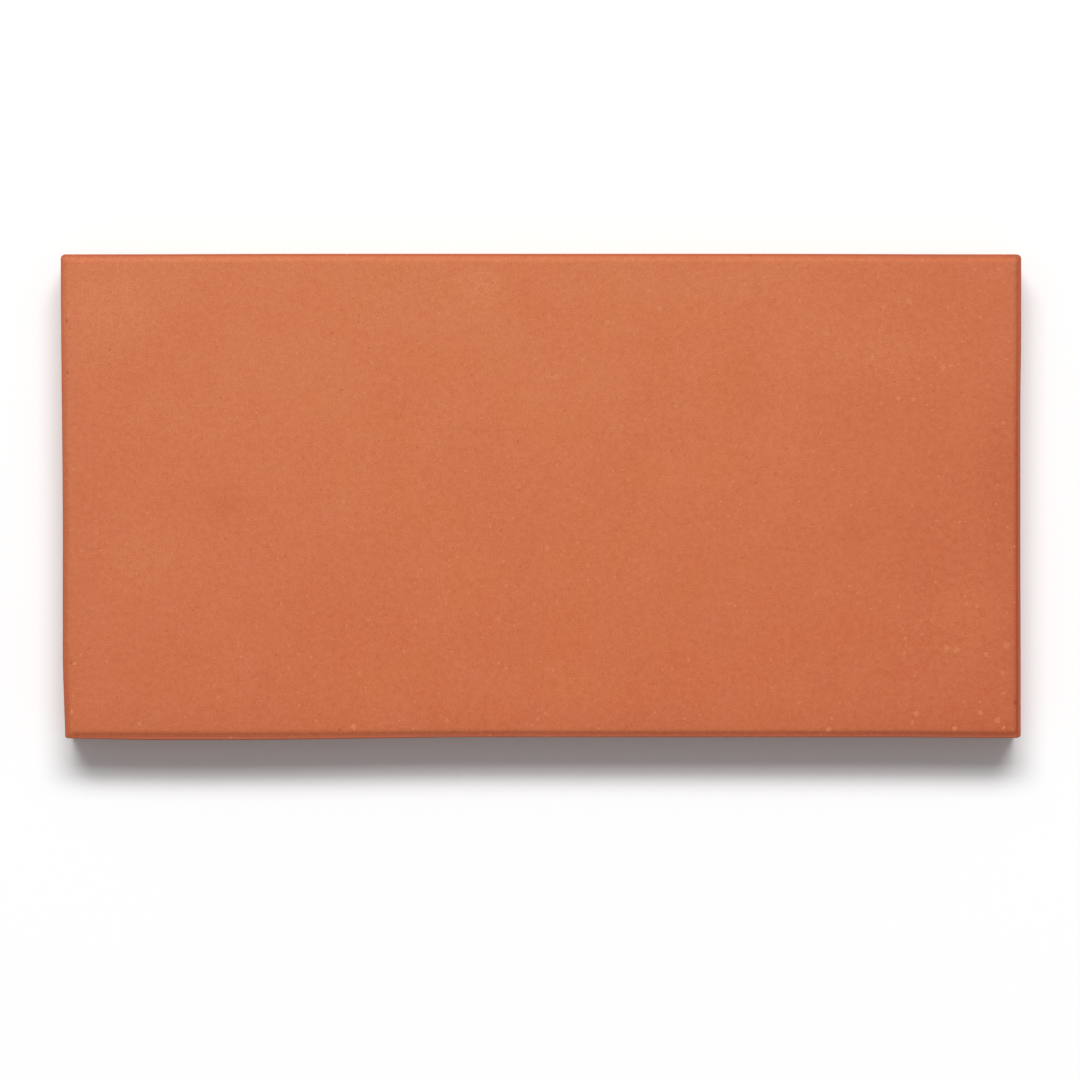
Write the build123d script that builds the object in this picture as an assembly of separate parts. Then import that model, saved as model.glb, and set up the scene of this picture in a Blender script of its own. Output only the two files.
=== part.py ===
from build123d import *
from math import radians, sqrt, tan
import os

# Driving dimensions, in millimetres and degrees. +X runs along the length, +Y across the width and
# +Z up to the walking face. The origin is the middle of the bed, the underside that lies in mortar.
TILE_LENGTH = 300.0
TILE_WIDTH = 152.0
TILE_THICKNESS = 15.0

# The edge of the walking face: a broad shoulder that arches down to a low riser on a narrow ledge.
SHOULDER_RADIUS = 7.5
SHOULDER_WIDTH = 2.4
RISER_HEIGHT = 0.1
LEDGE_WIDTH = 0.8
LEDGE_ARRIS_RADIUS = 0.25
FACE_CORNER_RADIUS = 1.4

# The side walls are upright in a short rim below the ledge, and from there they draw in towards the
# bed, so that the pressed clay leaves its die.
RIM_HEIGHT = 1.0
WALL_DRAFT = 2.0
BED_ARRIS_RADIUS = 0.8
BED_CORNER_RADIUS = 0.2

# The keying grooves in the bed, which the mortar grips. They stop short of every edge.
GROOVE_WIDTH = 6.0
GROOVE_DEPTH = 1.5
GROOVE_FLANK = 30.0
GROOVE_PITCH = 13.0
GROOVE_MARGIN = 12.0


def drafted_slab(ledge_level):
    """The slab below the ledge: it widens from the bed to the rim, and both of its arrises are eased."""
    rim_level = ledge_level - RIM_HEIGHT
    wall_run = rim_level * tan(radians(WALL_DRAFT))
    bed_corner = BED_ARRIS_RADIUS + BED_CORNER_RADIUS
    bed_outline = RectangleRounded(TILE_LENGTH - 2 * wall_run, TILE_WIDTH - 2 * wall_run, bed_corner)
    rim_outline = RectangleRounded(TILE_LENGTH, TILE_WIDTH, bed_corner + wall_run)
    slab = extrude(bed_outline, amount=rim_level, taper=-WALL_DRAFT)
    slab += extrude(Pos(0, 0, rim_level) * rim_outline, amount=RIM_HEIGHT)
    slab = fillet(slab.faces().sort_by(Axis.Z)[-1].edges(), LEDGE_ARRIS_RADIUS)
    return fillet(slab.faces().sort_by(Axis.Z)[0].edges(), BED_ARRIS_RADIUS)


def face_section(span, ledge_level):
    """The raised face seen end on: a flat between two arches, which run on down to the ledge's level."""
    half_flat = span / 2 - LEDGE_WIDTH - SHOULDER_WIDTH
    depth = TILE_THICKNESS - ledge_level
    half_base = half_flat + sqrt(2 * SHOULDER_RADIUS * depth - depth**2)
    return make_face([
        TangentArc((-half_flat, TILE_THICKNESS), (-half_base, ledge_level), tangent=(-1, 0)),
        Line((-half_flat, TILE_THICKNESS), (half_flat, TILE_THICKNESS)),
        TangentArc((half_flat, TILE_THICKNESS), (half_base, ledge_level), tangent=(1, 0)),
        Line((-half_base, ledge_level), (half_base, ledge_level)),
    ])


def shouldered_face(ledge_level):
    """The raised walking face. Its two sections cross in mitres, and its outline trims them to the riser."""
    along_length = extrude(Plane.YZ * face_section(TILE_WIDTH, ledge_level), TILE_LENGTH / 2, both=True)
    along_width = extrude(Plane.XZ * face_section(TILE_LENGTH, ledge_level), TILE_WIDTH / 2, both=True)
    face_outline = RectangleRounded(
        TILE_LENGTH - 2 * LEDGE_WIDTH,
        TILE_WIDTH - 2 * LEDGE_WIDTH,
        FACE_CORNER_RADIUS,
    )
    return along_length & along_width & extrude(face_outline, amount=TILE_THICKNESS)


def keying_grooves():
    """The grooves, in pairs on each side of a middle land, with round ends and sloping flanks."""
    half_span = (TILE_WIDTH - GROOVE_WIDTH) / 2 - GROOVE_MARGIN
    groove_count = 2 * int(half_span / GROOVE_PITCH + 0.5)
    groove_length = TILE_LENGTH - 2 * GROOVE_MARGIN
    places = GridLocations(groove_length, GROOVE_PITCH, 1, groove_count)
    groove = extrude(SlotOverall(groove_length, GROOVE_WIDTH), amount=GROOVE_DEPTH, taper=GROOVE_FLANK)
    return [place * groove for place in places]


def pressed_tile():
    """The whole tile, one piece of fired clay."""
    shoulder_drop = SHOULDER_RADIUS - sqrt(SHOULDER_RADIUS**2 - SHOULDER_WIDTH**2)
    ledge_level = TILE_THICKNESS - shoulder_drop - RISER_HEIGHT
    tile = drafted_slab(ledge_level) + shouldered_face(ledge_level) - keying_grooves()
    tile.label = "tile"
    return tile


os.makedirs("parts", exist_ok=True)
export_step(pressed_tile(), "parts/tile.step")
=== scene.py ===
import bmesh
import bpy
import math
import random
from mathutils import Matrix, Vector, kdtree


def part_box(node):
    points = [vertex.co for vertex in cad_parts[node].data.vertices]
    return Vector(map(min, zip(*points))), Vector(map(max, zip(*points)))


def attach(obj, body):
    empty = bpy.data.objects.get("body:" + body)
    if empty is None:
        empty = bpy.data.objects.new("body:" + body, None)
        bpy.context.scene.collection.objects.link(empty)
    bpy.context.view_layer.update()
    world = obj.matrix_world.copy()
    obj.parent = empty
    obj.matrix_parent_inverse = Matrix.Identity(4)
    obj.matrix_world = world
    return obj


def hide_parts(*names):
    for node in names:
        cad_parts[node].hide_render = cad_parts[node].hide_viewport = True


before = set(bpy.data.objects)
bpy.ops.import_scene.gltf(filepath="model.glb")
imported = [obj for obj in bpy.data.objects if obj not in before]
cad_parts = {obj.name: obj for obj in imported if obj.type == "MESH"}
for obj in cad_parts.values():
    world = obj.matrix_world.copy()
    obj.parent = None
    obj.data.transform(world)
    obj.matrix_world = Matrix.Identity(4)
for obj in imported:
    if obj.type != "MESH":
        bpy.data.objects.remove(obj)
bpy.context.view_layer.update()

# The tile body
# One slab of red clay, pressed in a steel die and fired. The die leaves a broad shoulder round the
# walking face, a narrow ledge below it, drafted walls and a keyed bed. Drying and firing pull the
# outline slightly out of true, so this mesh stands for the plain solid and stays just inside its box.

MM = 0.001
SHRINKAGE = 0.04 * MM            # kept free inside the box, so that proud grains stay within it
low, high = (Vector(corner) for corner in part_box("tile"))
low += Vector((SHRINKAGE, SHRINKAGE, 0))
high -= Vector((SHRINKAGE, SHRINKAGE, SHRINKAGE))

CELL = 1.0 * MM                  # the mesh on the walking face
LEDGE_DEPTH = 0.5 * MM           # below the walking face
LEDGE_WIDTHS = {"near": 1.15 * MM, "right": 0.75 * MM, "far": 0.8 * MM, "left": 0.8 * MM}
SHOULDER_DROPS = {"near": 0.45 * MM, "right": 0.48 * MM, "far": 0.4 * MM, "left": 0.35 * MM}
SHOULDER_WIDTHS = {"near": 2.8 * MM, "right": 1.1 * MM, "far": 2.4 * MM, "left": 2.8 * MM}
SHOULDER_LEANS = {"near": 2.1, "right": 1.2, "far": 1.8, "left": 2.0}  # above 1, steeper at the foot
RISER_EASE = 0.06 * MM           # the tight bends at the top and foot of the riser
LEDGE_ARRIS = 0.4 * MM
LEDGE_LINE = 1.2 * LEDGE_ARRIS   # the mesh's last line on the ledge, just inside its arris
RIM_HEIGHT = 1.0 * MM
BED_ARRIS = 0.8 * MM
WALL_DRAFT = math.radians(2.0)
RIM_CORNER = 1.45 * MM           # radius of the upright corners, seen from above
FACE_CORNER = 0.2 * MM           # and of the flat face's own corners
CORNER_STEPS = 5
SHOULDER_STEPS = 10
SHOULDER_CROWDING = 1.5          # above 1, the steps crowd towards the shoulder's foot
ARRIS_STEPS = 3
WALL_STEPS = 6

ledge_level = high.z - LEDGE_DEPTH
rim_foot = ledge_level - RIM_HEIGHT
sides = ("near", "right", "far", "left")


def smooth(value, start, end):
    """0 at start, 1 at end and an even S between them, whichever of the two is larger."""
    share = min(max((value - start) / (end - start), 0), 1)
    return share * share * (3 - 2 * share)


def even(measure):
    """The same measure on all four sides."""
    return dict.fromkeys(sides, measure)


def ledge_insets(beyond):
    """The inside of the ledge on each side, and so far beyond it."""
    return {side: LEDGE_WIDTHS[side] + beyond for side in sides}


def side_distances(x, y):
    """How far a place lies inside each of the four sides."""
    return {"near": high.y + y, "right": high.x - x, "far": high.y - y, "left": high.x + x}


def wall_inset(height):
    """How far the drafted wall stands inside the rim at this height."""
    return (rim_foot - height) * math.tan(WALL_DRAFT)


def edge_profile():
    """The section of the edge from the face down to the bed: insets, corner radius and heights."""
    section = []
    for step in range(SHOULDER_STEPS + 1):
        share = 1 - (1 - step / SHOULDER_STEPS) ** SHOULDER_CROWDING
        insets, heights = {}, {}
        for side in sides:
            insets[side] = LEDGE_WIDTHS[side] + RISER_EASE + SHOULDER_WIDTHS[side] * (1 - share)
            heights[side] = high.z - SHOULDER_DROPS[side] * smooth(share ** SHOULDER_LEANS[side], 0, 1)
        section.append((insets, FACE_CORNER + (RIM_CORNER - FACE_CORNER) * share, heights))
    section.append((ledge_insets(0), RIM_CORNER, even(ledge_level + RISER_EASE / 4)))
    section.append((ledge_insets(-RISER_EASE), RIM_CORNER, even(ledge_level)))
    section.append((even(LEDGE_LINE), RIM_CORNER, even(ledge_level)))
    for step in range(ARRIS_STEPS + 1):
        turn = math.radians(90) * step / ARRIS_STEPS
        inset = LEDGE_ARRIS * (1 - math.sin(turn))
        section.append((even(inset), RIM_CORNER, even(ledge_level - LEDGE_ARRIS * (1 - math.cos(turn)))))
    for step in range(WALL_STEPS + 1):
        height = rim_foot + (BED_ARRIS - rim_foot) * step / WALL_STEPS
        section.append((even(wall_inset(height)), RIM_CORNER - wall_inset(height), even(height)))
    foot = wall_inset(BED_ARRIS)
    for step in range(1, ARRIS_STEPS + 1):
        turn = math.radians(90) * step / ARRIS_STEPS
        inset = foot + BED_ARRIS * (1 - math.cos(turn))
        section.append((even(inset), RIM_CORNER - inset, even(BED_ARRIS * (1 - math.sin(turn)))))
    return section


profile = edge_profile()
face_insets, _, face_heights = profile[0]
face_level = face_heights["near"]
face_left, face_right = low.x + face_insets["left"], high.x - face_insets["right"]
face_near, face_far = low.y + face_insets["near"], high.y - face_insets["far"]
columns = round((face_right - face_left) / CELL)
rows = round((face_far - face_near) / CELL)
row_length = columns + 1         # in vertices


def ring(insets, corner, heights):
    """One closed line round the tile, anticlockwise from the near left corner."""
    left, right = low.x + insets["left"] + corner, high.x - insets["right"] - corner
    near, far = low.y + insets["near"] + corner, high.y - insets["far"] - corner
    corners = [(left, near), (right, near), (right, far), (left, far)]
    points = []
    for side in range(4):
        start, end = corners[side], corners[(side + 1) % 4]
        out = math.radians(90 * side - 90)
        cells = columns if side % 2 == 0 else rows
        height, next_height = heights[sides[side]], heights[sides[(side + 1) % 4]]
        for step in range(cells + 1):
            x = start[0] + (end[0] - start[0]) * step / cells + corner * math.cos(out)
            y = start[1] + (end[1] - start[1]) * step / cells + corner * math.sin(out)
            points.append((x, y, height))
        for step in range(1, CORNER_STEPS):
            share = step / CORNER_STEPS
            turn = out + math.radians(90) * share
            x, y = end[0] + corner * math.cos(turn), end[1] + corner * math.sin(turn)
            points.append((x, y, height + (next_height - height) * share))
    return points


def face_rim():
    """The grid vertices on the edge of the walking face, in the order of a ring, corners repeated."""
    last_row = rows * row_length
    lines = [
        list(range(row_length)),
        [row * row_length + columns for row in range(rows + 1)],
        [last_row + columns - column for column in range(row_length)],
        [(rows - row) * row_length for row in range(rows + 1)],
    ]
    return [index for line in lines for index in line + [line[-1]] * (CORNER_STEPS - 1)]


points = []
for row in range(rows + 1):
    for column in range(row_length):
        x = face_left + (face_right - face_left) * column / columns
        y = face_near + (face_far - face_near) * row / rows
        points.append((x, y, face_level))
faces = []
for row in range(rows):
    for column in range(columns):
        first = row * row_length + column
        faces.append((first, first + 1, first + row_length + 1, first + row_length))
inner = face_rim()
for insets, corner, heights in profile[1:]:
    outer = list(range(len(points), len(points) + len(inner)))
    points += ring(insets, corner, heights)
    for step in range(len(inner)):
        ahead = (step + 1) % len(inner)
        quad = (inner[step], outer[step], outer[ahead], inner[ahead])
        faces.append(tuple(dict.fromkeys(quad)))
    inner = outer

body = bmesh.new()
verts = [body.verts.new(point) for point in points]
for face in faces:
    body.faces.new([verts[index] for index in face])

# The keying grooves in the bed are the frame's own: its groove faces are copied, and the flat bed is
# filled in between them and the foot of the walls.
GROOVE_ZONE = 5 * MM             # the grooves stay further than this inside the outline
TOUCH = 0.01 * MM                # nearer than this is the same place, and lower than this is the bed

grooves = bmesh.new()
grooves.from_mesh(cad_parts["tile"].data)
bmesh.ops.remove_doubles(grooves, verts=grooves.verts, dist=TOUCH)


def in_groove(face):
    """True for a face of a groove's floor or flanks."""
    inside = all(
        abs(vert.co.x) < high.x - GROOVE_ZONE and abs(vert.co.y) < high.y - GROOVE_ZONE
        for vert in face.verts
    )
    heights = [vert.co.z for vert in face.verts]
    return inside and max(heights) > TOUCH and max(heights) < rim_foot


copies = {}
for face in grooves.faces:
    if in_groove(face):
        for vert in face.verts:
            if vert not in copies:
                copies[vert] = body.verts.new(vert.co)
        body.faces.new([copies[vert] for vert in face.verts])
grooves.free()
open_edges = [edge for edge in body.edges if edge.is_boundary]
bmesh.ops.triangle_fill(body, edges=open_edges, use_beauty=True, normal=(0, 0, -1))

# Drying, firing and painted shade
# Drying pulls the outline in a little. The kiln fires the near right end harder, which reddens it, and
# the edges hardest of all, and handling rubs some places pale. The darker near side, right end and edges
# also carry painted shade. All of it is where the photo shows it.

PIXEL = 0.312 * MM               # a pixel of the photo, on the walking face
TILE_MIDDLE_PX = (540.5, 496.3)  # where the middle of the tile falls in the photo

# Where the outline has drawn in: how far, and between which rows or columns of the photo. The far side's
# columns are counted from the tile's middle, and the near ledge draws in further than the face above it.
LEFT_DRIFT = ((0.62 * MM, 255, 540), (0.8 * MM, 650, 750))
RIGHT_DRIFT = ((0.27 * MM, 330, 410), (-0.12 * MM, 540, 700))
NEAR_DRIFT = ((0.55 * MM, 215, 500), (-0.25 * MM, 880, 1010))
NEAR_LEDGE_DRIFT = ((0.35 * MM, 215, 500), (0.5 * MM, 160, 60))
FAR_DRIFT = ((0.2 * MM, 200, 480),)
WARP_REACH = 9 * MM              # how far inside the outline the warp dies out

# How hard the face is fired, from 0 to 1, together with painted shade: a base, a rise towards the near
# side, and steps along the length, each with its strength and its two ends in half lengths from the
# middle. The rise towards the near side is painted shade; the steps along the length are partly harder
# firing at the right end and partly painted shade.
FIRED_BASE = 0.3
NEAR_SIDE_SHADE = 0.27
FIRED_AND_SHADED_ALONG = ((0.05, -0.5, -1), (0.13, -0.3, 0.5), (0.3, 0.5, 1))
OCHRE_ENDS = (0.95, 0.25)        # where the clouds begin and are full, in half lengths or half widths
IRON_ENDS = (1.0, 0.4)
IRON_DOWN = (-0.6, 1)

# The darker red edge on each side, partly hard-fired clay and partly painted shade that is strongest on
# the right: how far it reaches in, how much of its red it has, and how far the ledge's own colour, partly
# darker clay and partly painted shade, covers that red on the ledge and the wall.
EDGE_REACHES = {"near": 3.65 * MM, "right": 2.7 * MM, "far": 2.4 * MM, "left": 2.5 * MM}
EDGE_FULL = 0.3 * MM             # inside the ledge: from here outwards the edge is at its reddest
EDGE_STRENGTHS = {"near": 0.61, "right": 1.0, "far": 0.6, "left": 0.65}
EDGE_SOFTEST = 0.2               # the share of that red which is left where the firing is softest and the painted shade lightest
LEDGE_TONE_AND_SHADE = {"near": 0.62, "right": 1.0, "far": 0.6, "left": 0.35}
# The faint darker margin inside the edge is painted shade.
MARGIN_REACH = 16 * MM           # the faint darker margin inside the edge
MARGIN_STRENGTHS = {"near": 0.19, "right": 0.08, "far": 0.1, "left": 0.06}

# Patches that are fired harder or rubbed pale: a pixel of the photo, the half width and half depth of
# the patch on the tile, and its strength.
HARD_PATCHES = [
    ((1000, 470), (12 * MM, 36 * MM), 0.18), ((225, 505), (8 * MM, 6 * MM), 0.16),
    ((263, 674), (6 * MM, 5 * MM), 0.25), ((856, 534), (6 * MM, 5 * MM), 0.2),
]
RUBBED_PATCHES = [
    ((105, 295), (26 * MM, 24 * MM), 0.6), ((485, 285), (14 * MM, 9 * MM), 0.7),
    ((140, 565), (18 * MM, 16 * MM), 0.4), ((745, 290), (12 * MM, 8 * MM), 0.4),
    ((965, 615), (18 * MM, 20 * MM), 0.5), ((890, 350), (22 * MM, 18 * MM), 0.4),
]


def at_pixel(pixel, height):
    """The place on the tile that a pixel of the photo shows."""
    x = (pixel[0] - TILE_MIDDLE_PX[0]) * PIXEL
    y = (TILE_MIDDLE_PX[1] - pixel[1]) * PIXEL
    return (x, y, height)


def stepped(steps, value):
    """The sum of smooth steps, each with its size and with the values where it starts and ends."""
    return sum(size * smooth(value, start, end) for size, start, end in steps)


def patched(patches, x, y):
    """How strongly the patches cover this place."""
    cover = 0
    for pixel, (half_width, half_depth), strength in patches:
        middle_x, middle_y, _ = at_pixel(pixel, 0)
        away = math.hypot((x - middle_x) / half_width, (y - middle_y) / half_depth)
        cover += strength * smooth(away, 1, 0)
    return cover


def fired_tone_and_shade(x, y):
    """0 for the softest and 1 for the hardest firing on the face, with painted shade added towards the
    near side and the right end.
    """
    along, down = stepped(FIRED_AND_SHADED_ALONG, x / high.x), -y / high.y
    return min(max(FIRED_BASE + along + NEAR_SIDE_SHADE * down + patched(HARD_PATCHES, x, y), 0), 1)


def ochre_share(x):
    """How much the clouds of yellower clay show: most in the middle of the length."""
    return smooth(abs(x / high.x), *OCHRE_ENDS)


def iron_share(x, y):
    """How much the clouds of redder clay show: most in the middle of the near side."""
    return smooth(abs(x / high.x), *IRON_ENDS) * smooth(-y / high.y, *IRON_DOWN)


def edge_firing_and_shade(x, y):
    """How far the clay has the darker red of the edge, partly hard-fired clay and partly painted shade,
    which fades inwards over the face.
    """
    edge = 0
    firing_and_shade = fired_tone_and_shade(x, y)
    for side, inside in side_distances(x, y).items():
        margin = MARGIN_STRENGTHS[side] * firing_and_shade * smooth(inside, MARGIN_REACH, 0)
        reached = smooth(inside, EDGE_REACHES[side], LEDGE_WIDTHS[side] + EDGE_FULL)
        share = EDGE_SOFTEST + (1 - EDGE_SOFTEST) * firing_and_shade
        edge = max(edge, margin, EDGE_STRENGTHS[side] * reached * share)
    return edge


def ledge_tone_and_shade(x, y):
    """How far the ledge's own darker colour, partly clay and partly painted shade, covers the red on the
    ledge and the walls below it, and 0 on the face.
    """
    ledge_cover = 0
    for side, inside in side_distances(x, y).items():
        reached = smooth(inside, LEDGE_WIDTHS[side] + RISER_EASE, LEDGE_WIDTHS[side] - RISER_EASE)
        ledge_cover = max(ledge_cover, LEDGE_TONE_AND_SHADE[side] * reached)
    return ledge_cover


def warp(point):
    """The point as the drying left it, by the rows and columns of the outline in the photo."""
    x, y, z = point
    column, row = TILE_MIDDLE_PX[0] + x / PIXEL, TILE_MIDDLE_PX[1] - y / PIXEL
    left, right = stepped(LEFT_DRIFT, row), stepped(RIGHT_DRIFT, row)
    near, near_ledge = stepped(NEAR_DRIFT, column), stepped(NEAR_LEDGE_DRIFT, column)
    far = stepped(FAR_DRIFT, abs(column - TILE_MIDDLE_PX[0]))
    side_share = smooth(abs(x), high.x - WARP_REACH, high.x)
    end_share = smooth(abs(y), high.y - WARP_REACH, high.y)
    x += left * side_share if x < 0 else -right * side_share
    ledge_share = end_share if z < rim_foot else max(1 - (high.y + y) / LEDGE_WIDTHS["near"], 0)
    y += near * end_share + near_ledge * ledge_share if y < 0 else -far * end_share
    return (x, y, z)


LAYERS = ("fired", "ochre", "iron", "edged", "rubbed", "walled", "ledged")
layers = [body.verts.layers.float.new(name) for name in LAYERS]
for vert in body.verts:
    x, y, z = vert.co
    values = (
        fired_tone_and_shade(x, y), ochre_share(x), iron_share(x, y), edge_firing_and_shade(x, y),
        patched(RUBBED_PATCHES, x, y), smooth(high.z - z, LEDGE_DEPTH, LEDGE_DEPTH + RIM_HEIGHT),
        ledge_tone_and_shade(x, y),
    )
    for layer, value in zip(layers, values):
        vert[layer] = value
    vert.co = warp(vert.co)

# Firing marks
# Crushed fired clay, called grog, shows on the face as pale grains, and bits that burned out leave
# pinholes. Handling takes small chips off the arris. The larger ones are where the photo shows them. The
# pinholes, nicks, chips, creases and wall pits are darkened with painted shade.

GRAINS_PX = [
    (879, 330), (948, 307), (943, 367), (918, 379), (898, 398), (913, 399), (962, 341), (826, 334),
    (837, 354), (872, 357), (875, 370), (799, 300), (883, 307), (909, 301), (980, 317), (966, 603),
    (977, 606), (946, 647), (956, 649), (985, 654), (1006, 645), (1003, 693), (916, 713), (912, 722),
    (303, 368), (343, 502), (535, 359), (555, 377), (582, 359), (547, 548), (606, 322), (659, 308),
    (745, 284), (217, 697), (241, 656), (139, 723), (997, 720), (980, 712),
]
PINHOLES_PX = [(933, 391), (331, 333), (509, 322), (471, 375), (755, 483), (671, 451)]
RIM_GRAINS_PX = [(828, 729), (954, 728), (1003, 727), (71, 711), (74, 663), (353, 726)]
NICKS_PX = [(1016, 455), (339, 730), (66, 321), (67, 373), (70, 663)]
CHIPS_PX = [(1015, 703)]
CREASES_PX = [((448, 426), (486, 431)), ((486, 431), (525, 428)), ((970, 551), (1010, 553))]

# The kinds of mark: the smallest and largest radius, how far it stands out of the clay, and its tone,
# which is above 0 for pale grog and below 0 for painted shade in a sunk pinhole, crease, nick, chip or
# pit.
GRAIN = ((0.45 * MM, 0.95 * MM), 0.02 * MM, 0.5)
SMALL_GRAIN = ((0.25 * MM, 0.55 * MM), 0.01 * MM, 0.45)
PINHOLE = ((0.3 * MM, 0.4 * MM), -0.06 * MM, -0.42)
SMALL_PINHOLE = ((0.2 * MM, 0.35 * MM), -0.06 * MM, -0.3)
CREASE = ((0.15 * MM, 0.3 * MM), -0.01 * MM, -0.12)
RIM_GRAIN = ((0.5 * MM, 0.8 * MM), 0.0, 0.7)
NICK = ((0.35 * MM, 0.5 * MM), -0.1 * MM, -0.5)
CHIP = ((0.7 * MM, 0.8 * MM), -0.1 * MM, -0.75)
WALL_GRAIN = ((0.4 * MM, 0.9 * MM), 0.0, 0.5)
WALL_PIT = ((0.3 * MM, 0.8 * MM), -0.2 * MM, -0.6)
CREASE_SPACING = 0.6 * MM
MARK_SEED = 7

chance = random.Random(MARK_SEED)
marks = []


def add_marks(places, radii, rise, tone):
    """Adds marks of one kind. Each is a place, a radius, how far it stands out, and its tone."""
    for place in places:
        marks.append((place, chance.uniform(*radii), rise, tone))


def scattered(count, lean):
    """Places spread over the walking face. A lean above one crowds them towards the right end."""
    places = []
    for _ in range(count):
        x = face_left + (face_right - face_left) * chance.random() ** (1 / lean)
        places.append((x, chance.uniform(face_near, face_far), face_level))
    return places


def on_walls(count):
    """Places spread over the four side walls, down to the arris of the bed."""
    places = []
    for _ in range(count):
        height = chance.uniform(0, rim_foot)
        across, along = high.x - wall_inset(height), high.y - wall_inset(height)
        if chance.random() < high.x / (high.x + high.y):
            places.append(warp((chance.uniform(-across, across), chance.choice((-along, along)), height)))
        else:
            places.append(warp((chance.choice((-across, across)), chance.uniform(-along, along), height)))
    return places


def on_line(start, end):
    """Evenly spaced places on the face between two pixels of the photo."""
    start, end = (Vector(at_pixel(pixel, face_level)) for pixel in (start, end))
    count = round((end - start).length / CREASE_SPACING)
    return [start.lerp(end, step / count) for step in range(count)]


shoulder_level = face_level - LEDGE_DEPTH / 4
add_marks([at_pixel(pixel, face_level) for pixel in GRAINS_PX], *GRAIN)
add_marks(scattered(count=200, lean=1.5), *SMALL_GRAIN)
add_marks([at_pixel(pixel, face_level) for pixel in PINHOLES_PX], *PINHOLE)
add_marks(scattered(count=20, lean=1.0), *SMALL_PINHOLE)
for start, end in CREASES_PX:
    add_marks(on_line(start, end), *CREASE)
add_marks([at_pixel(pixel, shoulder_level) for pixel in RIM_GRAINS_PX], *RIM_GRAIN)
add_marks([at_pixel(pixel, shoulder_level) for pixel in NICKS_PX], *NICK)
add_marks([at_pixel(pixel, shoulder_level) for pixel in CHIPS_PX], *CHIP)
add_marks(on_walls(count=40), *WALL_GRAIN)
add_marks(on_walls(count=30), *WALL_PIT)

mark_tree = kdtree.KDTree(len(marks))
for index, (place, _, _, _) in enumerate(marks):
    mark_tree.insert(place, index)
mark_tree.balance()


def near_mark(vert, margin):
    """True where a vertex lies in a mark or within the margin round it."""
    _, index, distance = mark_tree.find(vert.co)
    return distance < marks[index][1] + margin


# The mesh is made finer twice round each mark, and faces left with more than four corners are divided.
for cell in (CELL, CELL / 2):
    chosen = {vert for vert in body.verts if vert.co.z > TOUCH and near_mark(vert, cell)}
    edges = [edge for edge in body.edges if edge.verts[0] in chosen and edge.verts[1] in chosen]
    bmesh.ops.subdivide_edges(body, edges=edges, cuts=1, use_grid_fill=True)
bmesh.ops.triangulate(body, faces=[face for face in body.faces if len(face.verts) > 4])
bmesh.ops.recalc_face_normals(body, faces=body.faces)
mesh = bpy.data.meshes.new("tile_body")
body.to_mesh(mesh)
body.free()
tile = bpy.data.objects.new("tile_body", mesh)
bpy.context.scene.collection.objects.link(tile)

mark_mesh = bpy.data.meshes.new("firing_marks")
mark_mesh.from_pydata([place for place, _, _, _ in marks], [], [])
for name, column in (("radius", 1), ("rise", 2), ("tone", 3)):
    values = mark_mesh.attributes.new(name, "FLOAT", "POINT")
    values.data.foreach_set("value", [mark[column] for mark in marks])
mark_points = bpy.data.objects.new("firing_marks", mark_mesh)
bpy.context.scene.collection.objects.link(mark_points)


def add_node(tree, kind, inputs=None, **settings):
    """Adds a node with its settings, and fills its inputs by name or number with values or links."""
    node = tree.nodes.new(kind)
    for name, value in settings.items():
        setattr(node, name, value)
    for key, value in (inputs or {}).items():
        if isinstance(value, bpy.types.NodeSocket):
            tree.links.new(value, node.inputs[key])
        else:
            node.inputs[key].default_value = value
    return node


def srgb(hex_colour):
    """A hex colour as the linear numbers that a shader takes."""
    parts = [int(hex_colour[start:start + 2], 16) / 255 for start in (1, 3, 5)]
    linear = [part / 12.92 if part <= 0.04045 else ((part + 0.055) / 1.055) ** 2.4 for part in parts]
    return (*linear, 1.0)


# Terracotta: fired, unglazed red clay with a die-pressed skin. It is dry and matte, with a fine grain of
# half a millimetre, a coarser mottle, soft clouds from the kiln, and fine grog that shows as specks.
GRAINS = (("fine", 0.5 * MM, 1.0), ("coarse", 1.8 * MM, 3.0), ("cloud", 22 * MM, 3.0))  # size and detail
MOTTLE = (("fine", 1.08), ("coarse", 0.65), ("cloud", 0.32))  # the weight of each in the mottle
# The second clay and the edge and ledge clays are mixed in by shares that carry painted shade as well as
# clay tone.
CLAYS = {
    "soft": ("#ca6b46", "#da8960"), "hard": ("#be5a36", "#ce7650"),
    "edge": ("#984730", "#ac573e"), "ledge": ("#ac5a40", "#bc664c"),
}
TINT_CLOUD = 16 * MM
TINTS = (("ochre", 0, "#fffef5"), ("iron", 1, "#fffbfb"))  # the channel and the tint of each
# The dark colour serves the dark specks in the clay and, as painted shade, the sunk pits, nicks, chips
# and creases.
RUBBED_CLAY, PALE_GROG, DARK_SPECK_AND_HOLLOW_SHADE = "#dc8b60", "#d8895e", "#a44a32"
SPECK_SPACING = 2.6 * MM
SPECK_STRENGTHS = ((0, 0.75), (1, 0.35))  # the channel that chooses them and the strength: pale, dark
RAGGEDNESS = 0.5                 # how much the fine grain breaks up the outline of a mark
DRAW_LINE = 0.9 * MM             # the walls carry faint upright lines from leaving the die
DRAW_SHORTENING = 0.06           # how much less the noise changes upwards, which makes lines of it
FINE_RELIEF = 0.021              # heights of the skin's relief, in millimetres
COARSE_RELIEF = 0.06
DRAW_RELIEF = 0.06

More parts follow.
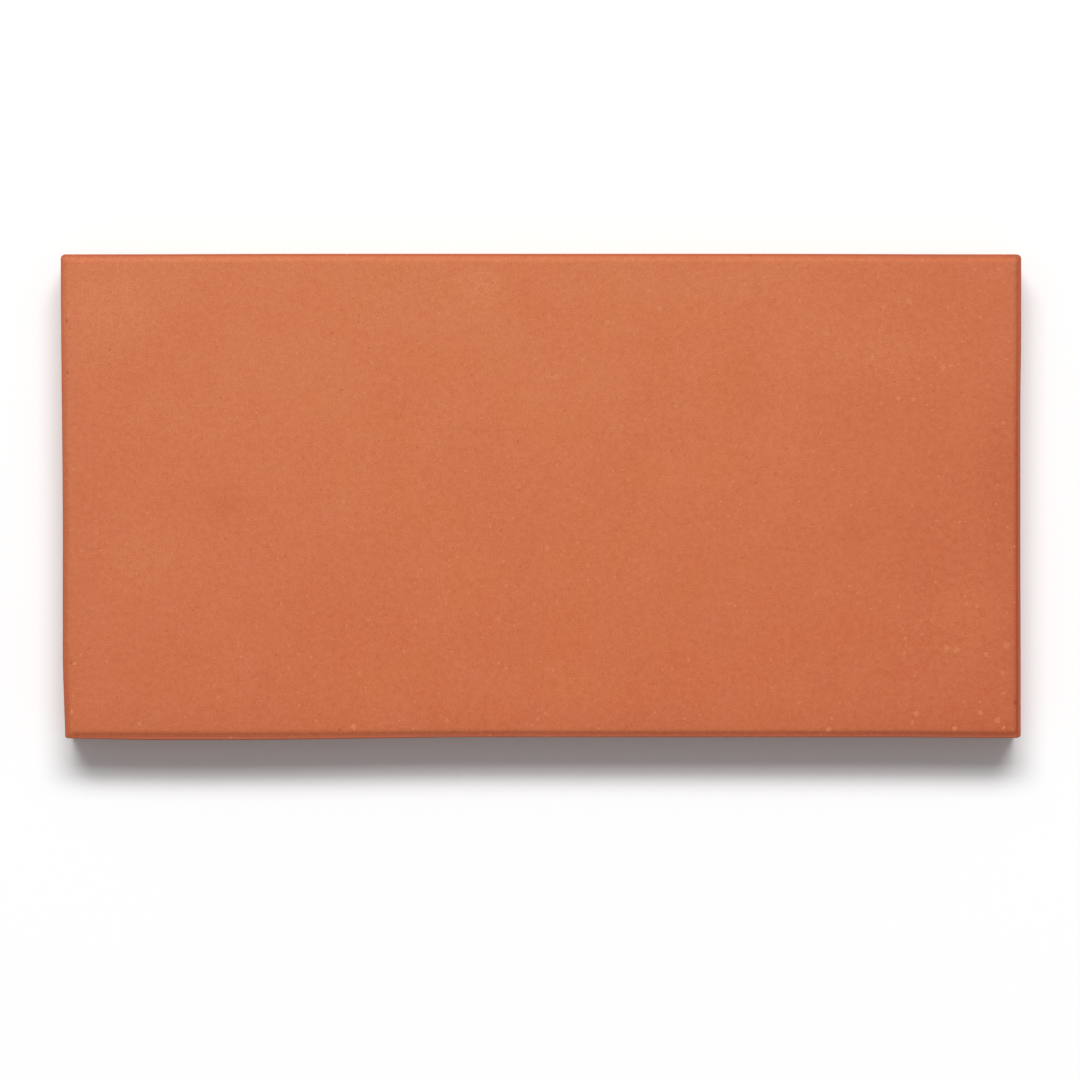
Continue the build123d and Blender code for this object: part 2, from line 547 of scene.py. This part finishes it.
terracotta = bpy.data.materials.new("terracotta_fired_unglazed")
terracotta.use_nodes = True
shader = terracotta.node_tree
surface = shader.nodes["Principled BSDF"]
surface.inputs["IOR"].default_value = 1.5
surface.inputs["Specular IOR Level"].default_value = 0.15
position = add_node(shader, "ShaderNodeTexCoord").outputs["Object"]
carried = {}
for name in (*LAYERS, "mark", "tone"):
    carried[name] = add_node(shader, "ShaderNodeAttribute", attribute_name=name).outputs["Fac"]
grain = {}
for name, size, detail in GRAINS:
    noise = add_node(
        shader, "ShaderNodeTexNoise", {"Vector": position, "Scale": 1 / size, "Detail": detail},
    )
    grain[name] = noise.outputs[0]
tint_noise = add_node(
    shader, "ShaderNodeTexNoise", {"Vector": position, "Scale": 1 / TINT_CLOUD, "Detail": 5.0},
)

# The mottle is the weighted sum of the grains round a middle of a half. It runs each clay from its dark
# to its pale colour, which are inputs 6 and 7 of a colour mix.
mottle = 0.5 - sum(weight for _, weight in MOTTLE) / 2
for name, weight in MOTTLE:
    summed = add_node(
        shader, "ShaderNodeMath", {0: grain[name], 1: weight, 2: mottle}, operation="MULTIPLY_ADD",
    )
    mottle = summed.outputs[0]
clay = {}
for name, (dark, pale) in CLAYS.items():
    mixed = add_node(shader, "ShaderNodeMix", {0: mottle, 6: srgb(dark), 7: srgb(pale)}, data_type="RGBA")
    clay[name] = mixed.outputs[2]

# The rubbed patches are broken up by the grain.
worn = add_node(
    shader, "ShaderNodeMapRange",
    {"Value": mottle, "From Min": 0.3, "From Max": 0.8, "To Min": 0.1, "To Max": 0.6},
)
rubbed = add_node(
    shader, "ShaderNodeMath",
    {0: worn.outputs[0], 1: carried["rubbed"]}, operation="MULTIPLY", use_clamp=True,
)

# The yellower and the redder clay lie in clouds of their own, in two channels of one noise.
clouds = add_node(shader, "ShaderNodeSeparateColor", {0: tint_noise.outputs["Color"]})
tint_covers = []
for name, channel, tint in TINTS:
    cloud = add_node(
        shader, "ShaderNodeMapRange",
        {"Value": clouds.outputs[channel], "From Min": 0.38, "From Max": 0.62},
    )
    tint_cover = add_node(
        shader, "ShaderNodeMath", {0: cloud.outputs[0], 1: carried[name]}, operation="MULTIPLY",
    )
    tint_covers.append((tint_cover.outputs[0], srgb(tint), "MULTIPLY"))

# Each cell of the specks has a dot at its middle, and by the cell's own colour it is pale, dark or
# absent. The dark ones are fainter.
specks = add_node(shader, "ShaderNodeTexVoronoi", {"Vector": position, "Scale": 1 / SPECK_SPACING})
cell_colour = add_node(shader, "ShaderNodeSeparateColor", {0: specks.outputs["Color"]})
dot = add_node(
    shader, "ShaderNodeMapRange",
    {"Value": specks.outputs["Distance"], "From Min": 0.17, "From Max": 0.08},
    interpolation_type="SMOOTHSTEP",
)
speck_covers = []
for channel, strength in SPECK_STRENGTHS:
    present = add_node(
        shader, "ShaderNodeMapRange",
        {"Value": cell_colour.outputs[channel], "From Min": 0.55, "From Max": 0.6, "To Max": strength},
    )
    speck_cover = add_node(
        shader, "ShaderNodeMath", {0: dot.outputs[0], 1: present.outputs[0]}, operation="MULTIPLY",
    )
    speck_covers.append(speck_cover.outputs[0])

# A mark covers the clay where its stored share, made ragged by the fine grain, is high enough. A tone
# above 0 gives pale grog, and a tone below 0 gives painted shade in a sunk mark.
ragged_share = add_node(
    shader, "ShaderNodeMath",
    {0: grain["fine"], 1: RAGGEDNESS, 2: carried["mark"]}, operation="MULTIPLY_ADD",
)
mark_cover = add_node(
    shader, "ShaderNodeMapRange",
    {"Value": ragged_share.outputs[0], "From Min": 0.6, "From Max": 0.85},
    interpolation_type="SMOOTHSTEP",
)
mark_covers = []
for sign in (1.0, -1.0):
    toned = add_node(
        shader, "ShaderNodeMath", {0: carried["tone"], 1: sign}, operation="MULTIPLY", use_clamp=True,
    )
    toned_cover = add_node(
        shader, "ShaderNodeMath", {0: mark_cover.outputs[0], 1: toned.outputs[0]}, operation="MULTIPLY",
    )
    mark_covers.append(toned_cover.outputs[0])

# The second clay's share, the edge and ledge clays and the dark marks are partly painted shade: darker
# towards the near side and the right end, along the edges, and in pits, nicks, chips and creases.
colour = clay["soft"]
for share, over, how in (
    (carried["fired"], clay["hard"], "MIX"), *tint_covers,
    (rubbed.outputs[0], srgb(RUBBED_CLAY), "MIX"), (carried["edged"], clay["edge"], "MIX"),
    (carried["ledged"], clay["ledge"], "MIX"),
    (speck_covers[0], srgb(PALE_GROG), "MIX"), (speck_covers[1], srgb(DARK_SPECK_AND_HOLLOW_SHADE), "MIX"),
    (mark_covers[0], srgb(PALE_GROG), "MIX"), (mark_covers[1], srgb(DARK_SPECK_AND_HOLLOW_SHADE), "MIX"),
):
    mixed = add_node(
        shader, "ShaderNodeMix", {0: share, 6: colour, 7: over}, data_type="RGBA", blend_type=how,
    )
    colour = mixed.outputs[2]
shader.links.new(colour, surface.inputs["Base Color"])
roughness = add_node(
    shader, "ShaderNodeMapRange", {"Value": grain["coarse"], "To Min": 0.8, "To Max": 0.92},
)
shader.links.new(roughness.outputs[0], surface.inputs["Roughness"])

drawn = add_node(shader, "ShaderNodeMapping", {"Vector": position, "Scale": (1.0, 1.0, DRAW_SHORTENING)})
draw_lines = add_node(
    shader, "ShaderNodeTexNoise", {"Vector": drawn.outputs[0], "Scale": 1 / DRAW_LINE, "Detail": 1.0},
)
wall_lines = add_node(
    shader, "ShaderNodeMath", {0: draw_lines.outputs[0], 1: carried["walled"]}, operation="MULTIPLY",
)
skin_height = 0.0
for lumps, relief in (
    (grain["fine"], FINE_RELIEF), (grain["coarse"], COARSE_RELIEF), (wall_lines.outputs[0], DRAW_RELIEF),
):
    raised = add_node(
        shader, "ShaderNodeMath", {0: lumps, 1: relief, 2: skin_height}, operation="MULTIPLY_ADD",
    )
    skin_height = raised.outputs[0]
bump = add_node(shader, "ShaderNodeBump", {"Height": skin_height, "Strength": 1.0, "Distance": MM})
shader.links.new(bump.outputs[0], surface.inputs["Normal"])

# The relief is one Geometry Nodes tree on the body: each mark lifts or sinks the clay round it along
# the surface, and the die's skin is very slightly uneven.
MARK_FADE = 2.0                  # a mark dies out at this many times its radius
RAGGED_GRAIN = 0.8 * MM          # the grain that makes the marks' outlines ragged
BED_FACING = -0.5                # what faces further down than this is the bed, which keeps its shape

tree = bpy.data.node_groups.new("fired_relief", "GeometryNodeTree")
tree.is_modifier = True
tree.interface.new_socket("Geometry", in_out="OUTPUT", socket_type="NodeSocketGeometry")
tree.interface.new_socket("Geometry", in_out="INPUT", socket_type="NodeSocketGeometry")
for name, kind in (
    ("Marks", "NodeSocketObject"),
    ("Skin Relief", "NodeSocketFloat"),
    ("Skin Wavelength", "NodeSocketFloat"),
    ("Sway Relief", "NodeSocketFloat"),
    ("Sway Wavelength", "NodeSocketFloat"),
    ("Clay", "NodeSocketMaterial"),
):
    tree.interface.new_socket(name, in_out="INPUT", socket_type=kind)
given = add_node(tree, "NodeGroupInput").outputs
here = add_node(tree, "GeometryNodeInputPosition").outputs[0]
normal = add_node(tree, "GeometryNodeInputNormal").outputs[0]
mark_cloud = add_node(tree, "GeometryNodeObjectInfo", {"Object": given["Marks"]}).outputs["Geometry"]
nearest = add_node(tree, "GeometryNodeSampleNearest", {"Geometry": mark_cloud, "Sample Position": here})


def mark_value(name):
    """A named number of the mark that lies nearest."""
    number = add_node(tree, "GeometryNodeInputNamedAttribute", {"Name": name}, data_type="FLOAT")
    sampled = add_node(
        tree, "GeometryNodeSampleIndex",
        {"Geometry": mark_cloud, "Value": number.outputs[0], "Index": nearest.outputs[0]},
        data_type="FLOAT",
    )
    return sampled.outputs[0]


def inward(relief_size, wavelength):
    """An unevenness that only ever goes inwards, by up to twice its relief."""
    per_wave = add_node(tree, "ShaderNodeMath", {0: 1.0, 1: wavelength}, operation="DIVIDE")
    lumps = add_node(
        tree, "ShaderNodeTexNoise", {"Vector": here, "Scale": per_wave.outputs[0], "Detail": 2.0},
    )
    depth = add_node(
        tree, "ShaderNodeMapRange", {"Value": lumps.outputs[0], "To Min": -2.0, "To Max": 0.0},
    )
    sunk = add_node(tree, "ShaderNodeMath", {0: depth.outputs[0], 1: relief_size}, operation="MULTIPLY")
    return sunk.outputs[0]


# How far this place is into its nearest mark, 0 where the mark dies out and 1 at its middle.
middle = add_node(
    tree, "GeometryNodeSampleIndex",
    {"Geometry": mark_cloud, "Value": here, "Index": nearest.outputs[0]}, data_type="FLOAT_VECTOR",
)
distance = add_node(tree, "ShaderNodeVectorMath", {0: here, 1: middle.outputs[0]}, operation="DISTANCE")
ragged = add_node(tree, "ShaderNodeTexNoise", {"Vector": here, "Scale": 1 / RAGGED_GRAIN, "Detail": 1.0})
stretch = add_node(
    tree, "ShaderNodeMapRange", {"Value": ragged.outputs[0], "To Min": 0.3, "To Max": 1.7},
)
reach = add_node(
    tree, "ShaderNodeMath", {0: distance.outputs["Value"], 1: stretch.outputs[0]}, operation="MULTIPLY",
)
fade_out = add_node(tree, "ShaderNodeMath", {0: mark_value("radius"), 1: MARK_FADE}, operation="MULTIPLY")
into_mark = add_node(
    tree, "ShaderNodeMapRange",
    {"Value": reach.outputs[0], "From Min": fade_out.outputs[0], "From Max": 0.0},
)
plateau = add_node(
    tree, "ShaderNodeMapRange",
    {"Value": into_mark.outputs[0], "From Min": 0.35, "From Max": 0.7},
    interpolation_type="SMOOTHSTEP",
)
lift = add_node(
    tree, "ShaderNodeMath", {0: plateau.outputs[0], 1: mark_value("rise")}, operation="MULTIPLY",
)
skin = inward(given["Skin Relief"], given["Skin Wavelength"])
sway = inward(given["Sway Relief"], given["Sway Wavelength"])
uneven = add_node(tree, "ShaderNodeMath", {0: skin, 1: sway}, operation="ADD")
shift = add_node(tree, "ShaderNodeMath", {0: lift.outputs[0], 1: uneven.outputs[0]}, operation="ADD")

facing = add_node(tree, "ShaderNodeSeparateXYZ", {0: normal})
off_bed = add_node(
    tree, "ShaderNodeMath", {0: facing.outputs["Z"], 1: BED_FACING}, operation="GREATER_THAN",
)
kept = add_node(
    tree, "ShaderNodeMath", {0: shift.outputs[0], 1: off_bed.outputs[0]}, operation="MULTIPLY",
)
offset = add_node(tree, "ShaderNodeVectorMath", {0: normal, "Scale": kept.outputs[0]}, operation="SCALE")
geometry = given["Geometry"]
for name, value in (("mark", into_mark.outputs[0]), ("tone", mark_value("tone"))):
    geometry = add_node(
        tree, "GeometryNodeStoreNamedAttribute",
        {"Geometry": geometry, "Name": name, "Value": value}, data_type="FLOAT", domain="POINT",
    ).outputs[0]
moved = add_node(tree, "GeometryNodeSetPosition", {"Geometry": geometry, "Offset": offset.outputs[0]})
realized = add_node(tree, "GeometryNodeRealizeInstances", {0: moved.outputs[0]})
finished = add_node(tree, "GeometryNodeSetMaterial", {0: realized.outputs[0], "Material": given["Clay"]})
add_node(tree, "NodeGroupOutput", {0: finished.outputs[0]})

relief_step = tile.modifiers.new("fired_relief", "NODES")
relief_step.node_group = tree
sockets = {item.name: item.identifier for item in tree.interface.items_tree if item.in_out == "INPUT"}
relief_step[sockets["Marks"]] = mark_points
relief_step[sockets["Skin Relief"]] = 0.015 * MM
relief_step[sockets["Skin Wavelength"]] = 7 * MM
relief_step[sockets["Sway Relief"]] = 0.03 * MM
relief_step[sockets["Sway Wavelength"]] = 35 * MM
relief_step[sockets["Clay"]] = terracotta
tile.update_tag()
evaluated = tile.evaluated_get(bpy.context.evaluated_depsgraph_get())
finished_mesh = bpy.data.meshes.new_from_object(evaluated)
tile.modifiers.clear()
tile.data = finished_mesh
bpy.data.objects.remove(mark_points)
for polygon in tile.data.polygons:
    polygon.use_smooth = True

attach(tile, "root")
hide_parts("tile")

# The plain setting
# A wide white floor, two soft lamps over the far side that throw the tile's shadow towards the viewer,
# even light from all round, and a camera that looks straight down.

FLOOR_HALF = 8.0
floor_mesh = bpy.data.meshes.new("floor")
floor_mesh.from_pydata(
    [(-FLOOR_HALF, -FLOOR_HALF, 0), (FLOOR_HALF, -FLOOR_HALF, 0), (FLOOR_HALF, FLOOR_HALF, 0),
     (-FLOOR_HALF, FLOOR_HALF, 0)], [], [(0, 1, 2, 3)],
)
floor = bpy.data.objects.new("floor", floor_mesh)
floor.location.z = low.z
bpy.context.scene.collection.objects.link(floor)


def seen_directly(tree):
    """1 for what the camera sees, also by reflection or through glass, and 0 for light that it casts."""
    path = add_node(tree, "ShaderNodeLightPath").outputs
    seen = add_node(
        tree, "ShaderNodeMath",
        {0: path["Is Camera Ray"], 1: path["Is Glossy Ray"]}, operation="MAXIMUM",
    )
    return add_node(
        tree, "ShaderNodeMath",
        {0: seen.outputs[0], 1: path["Is Transmission Ray"]}, operation="MAXIMUM",
    ).outputs[0]


WHITE = (1.0, 1.0, 1.0, 1.0)
FLOOR_BOUNCE = "#cccccc"         # the floor's colour for light that it throws back on to the tile
FLOOR_LIFT = 0.03                # keeps the floor white out to the edge of the view
paper = bpy.data.materials.new("white_paper_floor")
paper.use_nodes = True
paper_tree = paper.node_tree
seen = seen_directly(paper_tree)
whiteness = add_node(
    paper_tree, "ShaderNodeMix",
    {0: seen, 6: srgb(FLOOR_BOUNCE), 7: WHITE}, data_type="RGBA",
)
glow = add_node(paper_tree, "ShaderNodeMath", {0: seen, 1: FLOOR_LIFT}, operation="MULTIPLY")
paper_surface = paper_tree.nodes["Principled BSDF"]
paper_surface.inputs["Roughness"].default_value = 1.0
paper_surface.inputs["Specular IOR Level"].default_value = 0.0
paper_surface.inputs["Emission Color"].default_value = WHITE
paper_tree.links.new(whiteness.outputs[2], paper_surface.inputs["Base Color"])
paper_tree.links.new(glow.outputs[0], paper_surface.inputs["Emission Strength"])
floor.data.materials.append(paper)

FILL = 0.25                      # how strongly the even light lights things, where 1 is seen as white
world = bpy.data.worlds.new("studio")
world.use_nodes = True
bpy.context.scene.world = world
strength = add_node(
    world.node_tree, "ShaderNodeMapRange",
    {"Value": seen_directly(world.node_tree), "To Min": FILL, "To Max": 1.0},
)
background = world.node_tree.nodes["Background"]
background.inputs["Color"].default_value = WHITE
world.node_tree.links.new(strength.outputs[0], background.inputs["Strength"])

# A lamp lights a floor as brightly as its own colour where its light there is pi. The lamps' shares and
# FILL add up to about one, less what wide lamps lose at their rims, so a colour renders about as written.
LAMP_DISTANCE = 12.0

# Each lamp's share of the light, its elevation, and its width and depth as shares of its distance.
LAMPS = (("high_softbox", 0.41, 50, 1.06, 0.36), ("low_softbox", 0.42, 43, 0.95, 0.27))
for name, share, elevation, width, depth in LAMPS:
    towards = Vector((0, math.cos(math.radians(elevation)), math.sin(math.radians(elevation))))
    lamp = bpy.data.lights.new(name, "AREA")
    lamp.shape = "ELLIPSE"
    lamp.size = width * LAMP_DISTANCE
    lamp.size_y = depth * LAMP_DISTANCE
    lamp.energy = share * math.pi ** 2 * LAMP_DISTANCE ** 2 / towards.z
    softbox = bpy.data.objects.new(name, lamp)
    softbox.location = towards * LAMP_DISTANCE
    softbox.rotation_euler = towards.to_track_quat("Z", "Y").to_euler()
    bpy.context.scene.collection.objects.link(softbox)

PHOTO_SIZE_PX = 1080
CAMERA_HEIGHT = 1.6              # above the walking face
SENSOR = 36.0
camera_data = bpy.data.cameras.new("camera")
camera_data.sensor_width = SENSOR
camera_data.lens = SENSOR * CAMERA_HEIGHT / (PHOTO_SIZE_PX * PIXEL)
camera = bpy.data.objects.new("camera", camera_data)
photo_middle = ((PHOTO_SIZE_PX - 1) / 2, (PHOTO_SIZE_PX - 1) / 2)
camera.location = at_pixel(photo_middle, high.z + CAMERA_HEIGHT)
bpy.context.scene.collection.objects.link(camera)
bpy.context.scene.camera = camera
bpy.context.scene.view_settings.view_transform = "Standard"
